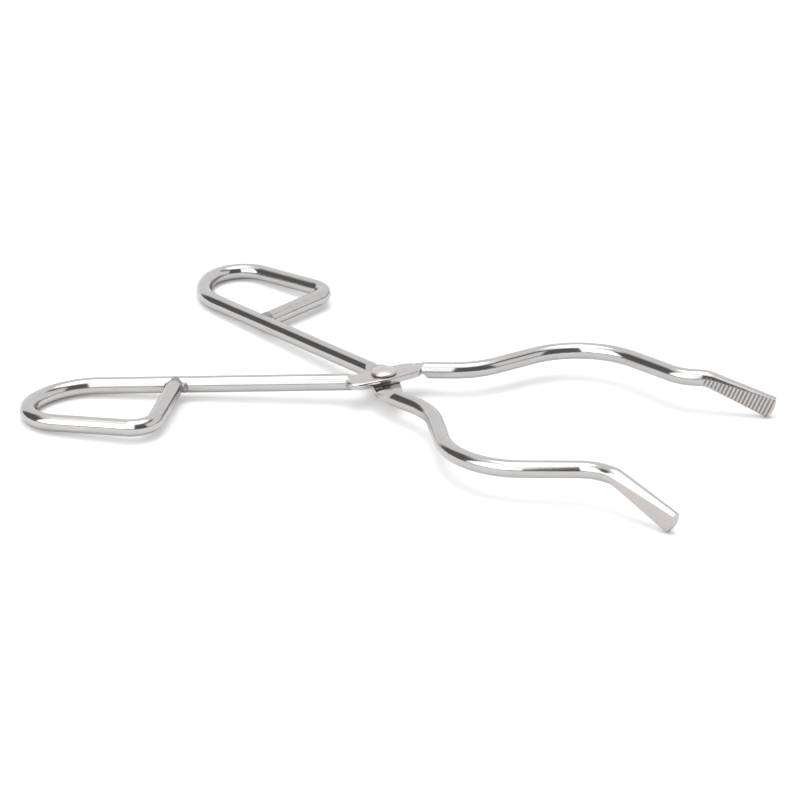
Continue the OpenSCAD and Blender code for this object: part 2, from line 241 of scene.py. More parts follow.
class TongsStudio(bpy.types.PropertyGroup):
    floor_size: FloatProperty(name="Floor size", default=6.0, unit="LENGTH", description="Side of the table")
    floor_gap: FloatProperty(name="Floor gap", default=0.00005, unit="LENGTH",
        description="Table below the tongs, so that no faces meet")
    floor: FloatVectorProperty(name="Floor", subtype="COLOR", size=3, default=(0.84, 0.84, 0.84),
        description="Colour of the table")
    floor_glow: FloatProperty(name="Floor glow", default=0.2,
        description="How far the table is burnt out in the picture")
    dim_room: FloatVectorProperty(name="Dim room", subtype="COLOR", size=3, default=(0.15, 0.14, 0.135),
        description="Light from the dark screens")
    back_wall: FloatVectorProperty(name="Back wall", subtype="COLOR", size=3, default=(0.95, 0.94, 0.935),
        description="Light from the pale walls")
    high_light: FloatVectorProperty(name="High light",
        subtype="COLOR", size=3, soft_max=4.0, default=(1.56, 1.56, 1.56), description="Light from overhead")
    overhead_size: FloatProperty(name="Overhead light", default=0.7, unit="LENGTH",
        description="Side of the light overhead")
    overhead_power: FloatProperty(name="Overhead power", default=4.0, unit="POWER",
        description="Power of the light overhead")
    overhead_at: FloatVectorProperty(name="Overhead place",
        size=3, default=(-0.05, 0.10, 1.2), subtype="TRANSLATION", unit="LENGTH",
        description="Place of the light overhead")
    side_size: FloatVectorProperty(name="Side light", size=2, default=(0.68, 0.79), unit="LENGTH",
        description="Width and height of the light on the camera's side")
    side_power: FloatProperty(name="Side power", default=2.65, unit="POWER",
        description="Power of the light on the camera's side")
    side_at: FloatVectorProperty(name="Side place",
        size=3, default=(-0.16, -0.45, 0.45), subtype="TRANSLATION", unit="LENGTH",
        description="Place of the light on the camera's side")
    camera_at: FloatVectorProperty(name="Camera",
        size=3, default=(0.31984, -0.70037, 0.35438), subtype="TRANSLATION", unit="LENGTH",
        description="Front right of the tongs and a little above them")
    camera_aim: FloatVectorProperty(name="Camera aim",
        size=3, default=(-0.00447, 0.00211, 0.0), subtype="TRANSLATION", unit="LENGTH",
        description="Point that the camera looks at")
    camera_roll: FloatProperty(name="Camera roll", default=math.radians(1.21), subtype="ANGLE",
        description="Turn round the line of sight")
    camera_lens: FloatProperty(name="Lens", default=129.0, unit="CAMERA", description="Focal length")
    camera_sensor: FloatProperty(name="Sensor", default=36.0, unit="CAMERA",
        description="Width of the camera's sensor")


CLASSES = [TongsRodSizes, TongsTipSizes, TongsJointSizes, TongsFinish, TongsStudio]


# small helpers

def clear_selection():
    if bpy.context.object and bpy.context.object.mode != "OBJECT":
        bpy.ops.object.mode_set(mode="OBJECT")
    bpy.ops.object.select_all(action="DESELECT")


def select_only(obj):
    clear_selection()
    obj.select_set(True)
    bpy.context.view_layer.objects.active = obj


def begin_edit(obj):
    select_only(obj)
    bpy.ops.object.mode_set(mode="EDIT")


def face_outwards():
    """Turns all faces outwards and leaves edit mode."""
    bpy.ops.mesh.select_all(action="SELECT")
    bpy.ops.mesh.normals_make_consistent(inside=False)
    bpy.ops.object.mode_set(mode="OBJECT")


def pick(obj, test, kind="VERT"):
    """Leaves only the vertices, edges or faces that pass the test selected, and stays in edit mode."""
    bpy.ops.mesh.select_mode(type=kind)
    bpy.ops.mesh.select_all(action="DESELECT")
    bpy.ops.object.mode_set(mode="OBJECT")
    for p in {"VERT": obj.data.vertices, "EDGE": obj.data.edges, "FACE": obj.data.polygons}[kind]:
        p.select = bool(test(p))
    bpy.ops.object.mode_set(mode="EDIT")


def is_cap(p):
    """A rod's end is one face with many corners."""
    return len(p.vertices) > ROUND / 2


def apply_all(obj):
    select_only(obj)
    for m in list(obj.modifiers):
        bpy.ops.object.modifier_apply(modifier=m.name)


def place(obj, matrix):
    """Moves the mesh, not the object."""
    select_only(obj)
    obj.matrix_world = matrix
    bpy.ops.object.transform_apply(location=True, rotation=True, scale=True)


def combine(obj, other, how):
    """Adds or takes away another solid, which is used up."""
    m = obj.modifiers.new("combine", "BOOLEAN")
    m.operation, m.solver, m.object = how, "EXACT", other
    apply_all(obj)
    bpy.data.objects.remove(other)


def turn(angle, axis):
    return Matrix.Rotation(angle, 4, axis)


# the bent rod: a spot on it is x, y and the heading

def ahead(spot, length):
    x, y, a = spot
    return x + length * math.cos(a), y + length * math.sin(a), a


def bent(spot, bend, radius):
    x, y, a = spot
    side, b = 1 if bend > 0 else -1, a + bend
    return x + side * radius * (math.sin(b) - math.sin(a)), y - side * radius * (math.cos(b) - math.cos(a)), b


def follow(spot, steps):
    """The end of a run of straights, each with a bend after it."""
    for length, bend, radius in steps:
        spot = bent(ahead(spot, length), bend, radius)
    return spot


class Arm:
    """Places along the rod, worked out from the sizes, in the arm's own frame with the pivot at the origin."""

    def __init__(self):
        w = bpy.context.scene
        self.s, self.t, self.j = w.tongs_rod, w.tongs_tip, w.tongs_joint
        s, t, j = self.s, self.t, self.j
        self.r = s.rod_d / 2
        shank_in, jaw_in = j.lobe_x + SHANK_ROOT, j.lobe_x + JAW_ROOT
        self.shank = [(s.shank_len - shank_in, s.bow_wide_turn, s.bow_wide_r),
                      (s.bow_gap, s.bow_end_turn, s.bow_end_r),
                      (s.bow_side_len, s.bow_corner_turn, s.bow_corner_r)]
        self.jaw = [(s.root_len, s.spread_turn, s.spread_r),
                    (s.spread_len, -s.belly_turn, s.belly_r),
                    (s.reach_len, s.toe_turn, s.toe_r)]
        self.shank_start = (-shank_in, -s.shank_offset, math.pi)
        self.jaw_start = (jaw_in, s.jaw_offset, -s.jaw_toe_in)
        self.corner = follow(self.shank_start, self.shank)
        self.crossbar_len = (-s.shank_offset - self.corner[1]) / math.sin(self.corner[2])
        self.weld_x = self.corner[0] + self.crossbar_len * math.cos(self.corner[2])
        self.toe = follow(self.jaw_start, self.jaw)
        self.drop_run = s.drop_gap + s.drop_r * math.sin(s.drop_turn)
        self.drop_fall = s.drop_r * (1 - math.cos(s.drop_turn))

        # The bow's end and the tip's lowest corner, which both rest on the table
        x, y, a = ahead(follow(self.shank_start, self.shank[:1]), s.bow_gap)
        bow_x, bow_y = x - s.bow_end_r * math.sin(a), y + s.bow_end_r * math.cos(a)
        inset = t.tip_end_r - math.sqrt(t.tip_end_r ** 2 - t.tip_h ** 2 / 4)
        back = t.tip_len - inset
        low = t.tip_h / 2 - (t.tip_h - s.rod_d) / 2 * inset / t.tip_len
        tip_reach = self.drop_run + back * math.cos(s.drop_turn) - low * math.sin(s.drop_turn)
        tip_fall = self.drop_fall + back * math.sin(s.drop_turn) + low * math.cos(s.drop_turn)
        end_x, end_y = ahead(self.toe, tip_reach)[:2]

        # The tilt that puts them there, and the move that centres the open tongs
        c, n = math.cos(j.half_opening), math.sin(j.half_opening)
        contact_bow = bow_x * c - bow_y * n - s.bow_end_r
        contact_tip = end_x * c - end_y * n
        span = math.hypot(contact_tip - contact_bow, tip_fall)
        tilt = math.atan2(tip_fall, contact_tip - contact_bow) - math.asin(self.r / span)
        rest_z = self.r - contact_bow * math.sin(tilt)
        heading = self.toe[2] + j.half_opening
        front = self.drop_run + (t.tip_len - t.tip_end_r) * math.cos(s.drop_turn) + t.tip_end_r
        front_fall = self.drop_fall + (t.tip_len - t.tip_end_r) * math.sin(s.drop_turn)
        front_x = (self.toe[0] * c - self.toe[1] * n + front * math.cos(heading)
                   + t.tip_t / 2 * math.sin(heading))
        front_reach = front_x * math.cos(tilt) + front_fall * math.sin(tilt)
        back_reach = self.r - contact_bow * math.cos(tilt)
        self.at_rest = Matrix.Translation(((back_reach - front_reach) / 2, 0, rest_z)) @ turn(-tilt, "Y")
        lift = Matrix.Translation((0, 0, s.rod_lift))
        self.shank_frame = lift @ turn(-math.atan(s.rod_lift / (s.bow_end_r - bow_x)), "Y")
        self.jaw_frame = lift @ turn(math.atan(s.rod_lift / end_x), "Y")

    def opened(self, side):
        """The lower arm is the upper one turned over."""
        return self.at_rest @ turn(side * self.j.half_opening, "Z") @ turn(0 if side > 0 else math.pi, "X")

    def toe_frame(self):
        x, y, a = self.toe
        return self.jaw_frame @ Matrix.Translation((x, y, 0)) @ turn(a, "Z")

    def tip_frame(self, fall):
        down = Matrix.Translation((self.drop_run, 0, -fall * self.drop_fall))
        return self.toe_frame() @ down @ turn(fall * self.s.drop_turn, "Y")


def ring(name, radius, start):
    """A ring of points round a rod's start, facing along its heading."""
    x, y, a = start
    clear_selection()
    bpy.ops.mesh.primitive_circle_add(vertices=ROUND, radius=radius, fill_type="NOTHING")
    obj = bpy.context.object
    obj.name = name
    place(obj, Matrix.Translation((x, y, 0)) @ turn(a, "Z") @ turn(math.pi / 2, "Y"))
    return obj


def bend_rod(name, radius, start, steps, last=0.0, drop=None):
    """Extrudes and spins a ring along straights and bends in the plane, and down at the end if asked."""
    obj = ring(name, radius, start)
    begin_edit(obj)
    bpy.ops.mesh.select_mode(type="EDGE")
    bpy.ops.mesh.select_all(action="SELECT")

    def straight(spot, length):
        if length > 0:
            way = Vector((math.cos(spot[2]), math.sin(spot[2]), 0)) * length
            bpy.ops.mesh.extrude_region_move(TRANSFORM_OT_translate={"value": way})
        return ahead(spot, length)

    spot = start
    for length, bend, r in steps:
        x, y, a = spot = straight(spot, length)
        side = 1 if bend > 0 else -1
        centre = (x - side * r * math.sin(a), y + side * r * math.cos(a), 0)
        count = max(LEAST_STEPS, round(abs(bend) / BEND_STEP))
        bpy.ops.mesh.spin(steps=count, dupli=False, angle=bend, center=centre, axis=(0, 0, -1))
        spot = bent(spot, bend, r)
    spot = straight(spot, last)
    if drop:
        gap, fall, r, angle = drop
        x, y, a = straight(spot, gap)
        bpy.ops.mesh.spin(steps=DROP_STEPS, dupli=False, angle=-fall * angle, center=(x, y, -fall * r),
                          axis=(-math.sin(a), math.cos(a), 0))
    bpy.ops.mesh.select_all(action="DESELECT")
    bpy.ops.mesh.select_mode(type="EDGE")
    bpy.ops.mesh.select_non_manifold()
    bpy.ops.mesh.edge_face_add()
    face_outwards()
    return obj


def wedge(height, shoulder, slope, depth, sign_x, sign_z):
    """A block over the plate with a sloping end, which presses the rod down to the plate."""
    clear_selection()
    bpy.ops.mesh.primitive_cube_add(size=2)
    obj = bpy.context.object
    obj.name = "press"
    length, middle = shoulder / 2, (height + depth) / 2
    place(obj, Matrix.Translation((length, 0, middle))
          @ Matrix.Diagonal((length, PRESS_HALF, (depth - height) / 2, 1)))
    begin_edit(obj)
    pick(obj, lambda v: v.co.x > length and v.co.z > middle)
    bpy.ops.transform.translate(value=((depth - height) / math.tan(slope), 0, 0))
    bpy.ops.object.mode_set(mode="OBJECT")
    place(obj, Matrix.Diagonal((sign_x, 1, sign_z, 1)))
    begin_edit(obj)
    face_outwards()
    return obj


def press_shoulders(arm, rod, outer, inner, sign_x):
    j = arm.j
    depth = arm.r + arm.s.rod_lift + CLEAR
    top, bottom = j.plate_t - SUNK, -j.plate_gap / 2 - SUNK
    for height, shoulder, slope, sign_z in ((top, outer, j.outer_ramp, 1), (bottom, inner, j.inner_ramp, -1)):
        middle = (arm.r - height) / math.tan(slope) / 2
        combine(rod, wedge(height, shoulder - middle, slope, depth, sign_x, sign_z), "DIFFERENCE")


def pressed_plate(arm):
    """Three round bosses wrapped in one hull, with the outer edge rounded by the press."""
    j = arm.j
    clear_selection()
    bosses = ((0, 0, j.eye_r), (j.lobe_x, j.lobe_y, j.lobe_r), (-j.lobe_x, -j.lobe_y, j.lobe_r))
    for n, (x, y, r) in enumerate(bosses):
        bpy.ops.mesh.primitive_cylinder_add(vertices=BOSS_ROUND, radius=r, depth=j.plate_t - j.plate_gap / 2,
                                            location=(x, y, j.plate_t / 2 + j.plate_gap / 4))
        if n == 0:
            obj = bpy.context.object
            obj.name = "plate"
            bpy.ops.object.transform_apply()
            bpy.ops.object.mode_set(mode="EDIT")
    bpy.ops.mesh.select_all(action="SELECT")
    bpy.ops.mesh.convex_hull()
    bpy.ops.mesh.select_all(action="SELECT")
    bpy.ops.mesh.dissolve_limited(angle_limit=math.radians(1))
    for level, width, segments in ((j.plate_t, j.plate_round, 5), (j.plate_gap / 2, j.plate_round / 2, 3)):
        def on_rim(e):
            return all(abs(obj.data.vertices[v].co.z - level) < 1e-6 for v in e.vertices)
        pick(obj, on_rim, "EDGE")
        bpy.ops.mesh.bevel(offset=width, segments=segments, profile=0.5, affect="EDGES")
    bpy.ops.object.mode_set(mode="OBJECT")
    return obj


def tip_blank(arm, fall):
    """The rod's end spread upright, with its end rounded by a run of flat cuts."""
    t, r = arm.t, arm.r
    obj = ring("tip", r, (0, 0, 0))
    begin_edit(obj)
    bpy.ops.mesh.select_mode(type="EDGE")
    bpy.ops.mesh.select_all(action="SELECT")
    full = t.tip_len + t.tip_spare
    for k in range(1, TIP_STEPS + 1):
        bpy.ops.mesh.extrude_region_move(TRANSFORM_OT_translate={"value": (full / TIP_STEPS, 0, 0)})
        before, after = (1 + m / TIP_STEPS * (t.tip_h / (2 * r) - 1) for m in (k - 1, k))
        bpy.ops.transform.resize(value=(1, 1, after / before), center_override=(k * full / TIP_STEPS, 0, 0))
    bpy.ops.mesh.select_all(action="DESELECT")
    bpy.ops.mesh.select_non_manifold()
    bpy.ops.mesh.edge_face_add()
    bpy.ops.mesh.select_all(action="SELECT")
    bpy.ops.mesh.normals_make_consistent(inside=False)
    for k in range(-END_CUTS, END_CUTS + 1):
        a = END_CUT_TURN * k
        bpy.ops.mesh.select_all(action="SELECT")
        on_end = (t.tip_len - t.tip_end_r + t.tip_end_r * math.cos(a), 0, t.tip_end_r * math.sin(a))
        bpy.ops.mesh.bisect(plane_co=on_end, plane_no=(math.cos(a), 0, math.sin(a)), use_fill=True,
                            clear_outer=True, threshold=1e-7)
    bpy.ops.object.mode_set(mode="OBJECT")
    place(obj, arm.tip_frame(fall))
    return obj


def press_marks(arm, obj, fall):
    """Presses the tip's two faces flat and files the teeth into the one towards the other arm."""
    t, r = arm.t, arm.r
    full = t.tip_len + t.press_lead
    press = math.atan((r - t.tip_t / 2) / full)
    tip = arm.tip_frame(fall)
    for y in (-1, 1):
        clear_selection()
        bpy.ops.mesh.primitive_cube_add(size=1)
        die = bpy.context.object
        hinge = tip @ Matrix.Translation((-t.press_lead, y * r, 0)) @ turn(-y * press, "Z")
        place(die, hinge @ Matrix.Translation(((full + DIE) / 2 - t.tip_spare, y * DIE / 2, 0))
              @ Matrix.Diagonal((full + DIE, DIE, DIE, 1)))
        combine(obj, die, "DIFFERENCE")
    # One V groove, repeated along the gripping face and cut out together
    clear_selection()
    bpy.ops.mesh.primitive_cube_add(size=1)
    file = bpy.context.object
    side = t.tooth_depth * math.sqrt(2)
    first = full / math.cos(press) - t.tooth_pitch
    place(file, turn(math.pi / 4, "Z") @ Matrix.Diagonal((side, side, 2 * t.tip_h, 1)))
    array = file.modifiers.new("teeth", "ARRAY")
    array.use_relative_offset = False
    array.use_constant_offset = True
    array.constant_offset_displace = (-t.tooth_pitch, 0, 0)
    array.count = t.tooth_count
    apply_all(file)
    hinge = tip @ Matrix.Translation((-t.press_lead, -r, 0)) @ turn(press, "Z")
    place(file, hinge @ Matrix.Translation((first, 0, 0)))
    combine(obj, file, "DIFFERENCE")


def straightened(arm, obj, fall):
    """Keeps where each point of the mesh lay on the rod before it was bent, for a grain that runs along it."""
    def path(spot, steps, last, drop):
        pts, dirs = [], []

        def put(at, z=0.0, slope=0.0):
            x, y, a = at
            pts.append((x, y, z))
            dirs.append((math.cos(a) * math.cos(slope), math.sin(a) * math.cos(slope), -math.sin(slope)))
        for length, bend, r in steps:
            n = max(1, round(length / GRAIN_STEP))
            for k in range(n):
                put(ahead(spot, length * k / n))
            spot = ahead(spot, length)
            n = round(abs(bend) * r / GRAIN_STEP)
            for k in range(n):
                put(bent(spot, bend * k / n, r))
            spot = bent(spot, bend, r)
        n = max(1, round(last / GRAIN_STEP))
        for k in range(n + 1):
            put(ahead(spot, last * k / n))
        if drop:
            slope, n = arm.s.drop_turn, round(arm.t.tip_len / GRAIN_STEP)
            for k in range(n + 1):
                d = arm.t.tip_len * k / n
                put(ahead(spot, arm.drop_run + d * math.cos(slope)),
                    -fall * (arm.drop_fall + d * math.sin(slope)), fall * slope)
        return np.array(pts), np.array(dirs)

    count = len(obj.data.vertices)
    co = np.empty(count * 3)
    obj.data.vertices.foreach_get("co", co)
    co = co.reshape(-1, 3)
    out = np.zeros((count, 3))
    for start, steps, last, drop, m, side in (
            (arm.shank_start, arm.shank, arm.crossbar_len, False, arm.shank_frame, -1),
            (arm.jaw_start, arm.jaw, 0.0, True, arm.jaw_frame, 1)):
        pts, dirs = path(start, steps, last, drop)
        length = np.r_[0, np.cumsum(np.linalg.norm(np.diff(pts, axis=0), axis=1))] + abs(start[0])
        inv = np.array(m.inverted())
        local = co @ inv[:3, :3].T + inv[:3, 3]
        mine = np.where(local[:, 0] * side > 0)[0]
        for k in range(0, len(mine), GRAIN_BATCH):
            idx = mine[k:k + GRAIN_BATCH]
            d = np.linalg.norm(local[idx, None] - pts[None], axis=2)
            i = d.argmin(1)
            away = local[idx] - pts[i]
            t = (away * dirs[i]).sum(1)
            left = np.c_[-dirs[i][:, 1], dirs[i][:, 0], np.zeros(len(i))]
            out[idx] = np.c_[side * (length[i] + t), (away * left).sum(1), away[:, 2]]
    a = obj.data.attributes.new("straightened", "FLOAT_VECTOR", "POINT")
    a.data.foreach_set("vector", out.ravel())
    # The press has been on the plate's faces and on the two flats of the tip
    tip = np.array(arm.tip_frame(fall).inverted())
    local = co @ tip[:3, :3].T + tip[:3, 3]
    wide, under, over, near = 1 * MM, 0.1 * MM, 0.05 * MM, 0.02 * MM
    plate = ((np.abs(co[:, 0]) < arm.j.jaw_outer + wide)
             & (co[:, 2] > arm.j.plate_t - under) & (co[:, 2] < arm.j.plate_t + over))
    pressed_in = (arm.r - arm.t.tip_t / 2) / (arm.t.tip_len + arm.t.press_lead)
    face = arm.r - (local[:, 0] + arm.t.press_lead) * pressed_in
    flats = (local[:, 0] > -arm.t.press_lead) & (np.abs(np.abs(local[:, 1]) - face) < near)
    b = obj.data.attributes.new("pressed", "FLOAT", "POINT")
    b.data.foreach_set("value", (plate | flats).astype(float))


def make_arm(name, side):
    """Side is 1 for the upper arm and -1 for the lower one, whose tip bends the other way until it is turned over."""
    arm = Arm()
    j = arm.j
    handle = bend_rod("handle", arm.r, arm.shank_start, arm.shank, last=arm.crossbar_len)
    place(handle, arm.shank_frame)
    press_shoulders(arm, handle, j.shank_outer, j.shank_inner, -1)
    jaw = bend_rod("jaw", arm.r, arm.jaw_start, arm.jaw, drop=(arm.s.drop_gap, side, arm.s.drop_r, arm.s.drop_turn))
    place(jaw, arm.jaw_frame)
    tip = tip_blank(arm, side)
    # Open the jaw's far end and the tip's near one, and close the two together
    frame_here = arm.tip_frame(side)
    end = frame_here.translation
    along = (frame_here @ Vector((1, 0, 0)) - end).normalized()

    def at_end(p):
        return is_cap(p) and (p.center - end).length < CLEAR and abs(p.normal.dot(along)) > 0.99
    for part in (jaw, tip):
        begin_edit(part)
        pick(part, at_end, "FACE")
        bpy.ops.mesh.delete(type="FACE")
    select_only(jaw)
    tip.select_set(True)
    bpy.ops.object.join()
    begin_edit(jaw)
    bpy.ops.mesh.select_all(action="SELECT")
    bpy.ops.mesh.remove_doubles(threshold=MERGE)
    bpy.ops.object.mode_set(mode="OBJECT")
    press_marks(arm, jaw, side)
    press_shoulders(arm, jaw, j.jaw_outer, j.jaw_inner, 1)
    body = pressed_plate(arm)
    body.name = name
    combine(body, handle, "UNION")
    combine(body, jaw, "UNION")
    clear_selection()
    play = TURNING_PLAY if side > 0 else HOLDING_PLAY
    bpy.ops.mesh.primitive_cylinder_add(vertices=BORE_ROUND, radius=j.rivet_d / 2 + play, depth=2 * arm.s.rod_d)
    combine(body, bpy.context.object, "DIFFERENCE")
    straightened(arm, body, side)
    place(body, arm.opened(side))
    select_only(body)
    bpy.ops.object.shade_smooth_by_angle(angle=ARM_CREASE)
    return body


# finishes

def new_group(name, outputs, inputs=()):
    """A node group that gives varying masks, colours or normals."""
    g = bpy.data.node_groups.new(name, "ShaderNodeTree")
    for way, sockets in (("INPUT", inputs), ("OUTPUT", outputs)):
        for n, kind in sockets:
            g.interface.new_socket(name=n, in_out=way, socket_type="NodeSocket" + kind)
    return g, g.nodes.new("NodeGroupInput"), g.nodes.new("NodeGroupOutput")


def node(tree, kind, **values):
    n = tree.nodes.new(kind)
    for k, v in values.items():
        setattr(n, k, v)
    return n


def feed(tree, sock, value):
    """Links a socket to another one, or gives it a value of its own."""
    if isinstance(value, bpy.types.NodeSocket):
        tree.links.new(value, sock)
    else:
        sock.default_value = value


def calc(tree, kind, *values, **settings):
    n = node(tree, "ShaderNodeMath", operation=kind, **settings)
    for sock, value in zip(n.inputs, values):
        feed(tree, sock, value)
    return n.outputs[0]


def blend(tree, factor, below, above):
    """Mixes two colours, each of them a socket or three numbers."""
    n = node(tree, "ShaderNodeMix", data_type="RGBA")
    tree.links.new(factor, n.inputs["Factor"])
    for key, value in (("A", below), ("B", above)):
        feed(tree, n.inputs[key], value if isinstance(value, bpy.types.NodeSocket) else (*value, 1))
    return n.outputs["Result"]


def noise(tree, vector, scale, detail, rough):
    """Noise with so many waves to the metre along, across and up."""
    m = node(tree, "ShaderNodeMapping")
    m.inputs["Scale"].default_value = scale
    tree.links.new(vector, m.inputs["Vector"])
    n = node(tree, "ShaderNodeTexNoise")
    for key, value in (("Vector", m.outputs["Vector"]), ("Scale", 1.0), ("Detail", detail), ("Roughness", rough)):
        feed(tree, n.inputs[key], value)
    return n.outputs["Fac"]


def bump(tree, height, kind, under=None):
    n = node(tree, "ShaderNodeBump")
    n.inputs["Strength"].default_value, n.inputs["Distance"].default_value = kind
    tree.links.new(height, n.inputs["Height"])
    if under:
        tree.links.new(under, n.inputs["Normal"])
    return n.outputs["Normal"]


def ramp(tree, value, low, high, to_low, to_high):
    m = node(tree, "ShaderNodeMapRange")
    for key, v in zip(("Value", "From Min", "From Max", "To Min", "To Max"), (value, low, high, to_low, to_high)):
        feed(tree, m.inputs[key], v)
    return m.outputs["Result"]


def grain_group():
    """Polishing lines along the rod, soft handling marks and faint waviness of a hand-bent rod."""
    g, gin, gout = new_group("Drawn steel grain", [("Roughness", "Float"), ("Shade", "Float"), ("Normal", "Vector")],
                             [("Vector", "Vector"), ("Rough Low", "Float"), ("Rough High", "Float")])
    v = gin.outputs["Vector"]
    lines = noise(g, v, (60.0, 5200.0, 5200.0), 4.0, 0.6)
    marks = noise(g, v, (160.0, 420.0, 420.0), 3.0, 0.55)
    waves = noise(g, v, (45.0, 90.0, 90.0), 1.0, 0.4)
    coarse = calc(g, "MULTIPLY", ramp(g, lines, 0.3, 0.7, 0.0, 1.0), ramp(g, marks, 0.3, 0.75, 0.35, 1.0))
    rough = ramp(g, coarse, 0.0, 1.0, gin.outputs["Rough Low"], gin.outputs["Rough High"])
    g.links.new(rough, gout.inputs["Roughness"])
    g.links.new(ramp(g, marks, 0.35, 0.8, 0.0, 1.0), gout.inputs["Shade"])
    g.links.new(bump(g, waves, BROAD_BUMP, bump(g, lines, FINE_BUMP)), gout.inputs["Normal"])
    return g


def groove_shade_group():
    """Painted shade: darkens grooves and corners found by ambient occlusion from the shape itself."""
    g, _, gout = new_group("Painted groove shade", [("Grooves", "Float")])
    ao = node(g, "ShaderNodeAmbientOcclusion", samples=8)
    ao.inputs["Distance"].default_value = GROOVE_REACH
    g.links.new(ramp(g, ao.outputs["AO"], 0.35, 0.85, 1.0, 0.0), gout.inputs["Grooves"])
    return g


def shared_group(name, build):
    return bpy.data.node_groups.get(name) or build()


def steel(name, colour, roughness, pressed=None):
    """Stainless steel with its grain, painted shade and more roughness in grooves, and satin where the press has
    been.
    """
    shade_colour = bpy.context.scene.tongs_finish.groove_shade_colour
    m = bpy.data.materials.new(name)
    m.use_nodes = True
    t = m.node_tree
    p = t.nodes["Principled BSDF"]
    p.inputs["Metallic"].default_value = 1.0

    def raised(mask, by, base):
        return calc(t, "MULTIPLY_ADD", mask, by, base, use_clamp=True)
    if pressed:
        vector = node(t, "ShaderNodeAttribute", attribute_name="straightened").outputs["Vector"]
    else:
        vector = node(t, "ShaderNodeTexCoord").outputs["Object"]
    grain = node(t, "ShaderNodeGroup", node_tree=shared_group("Drawn steel grain", grain_group))
    grain.inputs["Rough Low"].default_value, grain.inputs["Rough High"].default_value = roughness
    t.links.new(vector, grain.inputs["Vector"])
    groove_shade = node(t, "ShaderNodeGroup", node_tree=shared_group("Painted groove shade", groove_shade_group))
    base = blend(t, grain.outputs["Shade"], colour, [c * GRAIN_SHADE for c in colour])
    rough = grain.outputs["Roughness"]
    if pressed:
        satin = node(t, "ShaderNodeAttribute", attribute_name="pressed").outputs["Fac"]
        base = blend(t, satin, base, pressed)
        rough = raised(satin, SATIN_ROUGH, rough)
    # Painted shade: grooves and corners found by ambient occlusion take the darker colour, and also get more
    # roughness
    t.links.new(blend(t, groove_shade.outputs["Grooves"], base, shade_colour), p.inputs["Base Color"])
    t.links.new(raised(groove_shade.outputs["Grooves"], GROOVE_ROUGH, rough), p.inputs["Roughness"])
    t.links.new(grain.outputs["Normal"], p.inputs["Normal"])
    return m


def finish(obj, material):
    obj.data.materials.clear()
    obj.data.materials.append(material)


# operators

class TONGS_OT_arms(bpy.types.Operator):
    """Bend both rods, press their plates and tips, and finish them in polished steel"""
    bl_idname = "tongs.arms"
    bl_label = "Arms"

    def execute(self, context):
        f = context.scene.tongs_finish
        for name, side, body in (("upper_arm", 1, "upper_half"), ("lower_arm", -1, "lower_half")):
            arm = make_arm(name + "_dressed", side)
            finish(arm, steel(name + "_steel", f.steel, f.rod_rough, f.pressed_steel))
            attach(arm, body)
            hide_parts(name)
        return {"FINISHED"}


class TONGS_OT_rivet(bpy.types.Operator):
    """Turn the rivet with its domed head and clinched tail"""
    bl_idname = "tongs.rivet"
    bl_label = "Rivet"

    def execute(self, context):
        arm = Arm()
        j, f = arm.j, context.scene.tongs_finish
        seat = j.plate_t + j.plate_gap / 2

        def dome(d, h, edge, under):
            """Half of a head seen from the side: rounded underside, upright edge and dome."""
            rise = h - edge
            big = (d * d / 4 + rise * rise) / (2 * rise)
            half = math.asin(d / 2 / big)
            out = [(d / 2 - under, 0.0), (d / 2 - under * 0.3, under * 0.3), (d / 2, under), (d / 2, edge - DOME_LIP)]
            # The dome's first point lies a little in, which rounds its rim
            angles = [half * 0.97] + [half * (1 - k / DOME_STEPS) for k in range(1, DOME_STEPS + 1)]
            return out + [(big * math.sin(a), h - big + big * math.cos(a)) for a in angles]
        head = [(x, z + seat) for x, z in dome(j.head_d, j.head_h, j.head_edge, HEAD_UNDER)]
        tail = [(x, -j.plate_t - z) for x, z in dome(j.tail_d, j.tail_h, TAIL_EDGE, TAIL_UNDER)]
        profile = tail[::-1] + [(j.rivet_d / 2, -j.plate_t), (j.rivet_d / 2, seat)] + head
        clear_selection()
        bpy.ops.mesh.primitive_plane_add(size=1 * MM)
        obj = context.object
        obj.name = "rivet_dressed"
        bpy.ops.object.mode_set(mode="EDIT")
        bpy.ops.mesh.select_mode(type="VERT")
        bpy.ops.mesh.select_all(action="SELECT")
        bpy.ops.mesh.merge(type="CENTER")
        x0, z0 = profile[0]
        bpy.ops.transform.translate(value=(x0, 0, z0))
        for x, z in profile[1:]:
            bpy.ops.mesh.extrude_region_move(TRANSFORM_OT_translate={"value": (x - x0, 0, z - z0)})
            x0, z0 = x, z
        bpy.ops.mesh.select_all(action="SELECT")
        bpy.ops.mesh.spin(steps=BOSS_ROUND, dupli=False, angle=2 * math.pi, center=(0, 0, 0), axis=(0, 0, 1))
        bpy.ops.mesh.select_all(action="SELECT")
        bpy.ops.mesh.remove_doubles(threshold=MERGE)
        face_outwards()
        place(obj, arm.at_rest)
        select_only(obj)
        bpy.ops.object.shade_smooth_by_angle(angle=RIVET_CREASE)
        finish(obj, steel("rivet_steel", f.rivet_steel, f.rivet_rough))
        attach(obj, "lower_half")
        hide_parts("rivet")
        return {"FINISHED"}


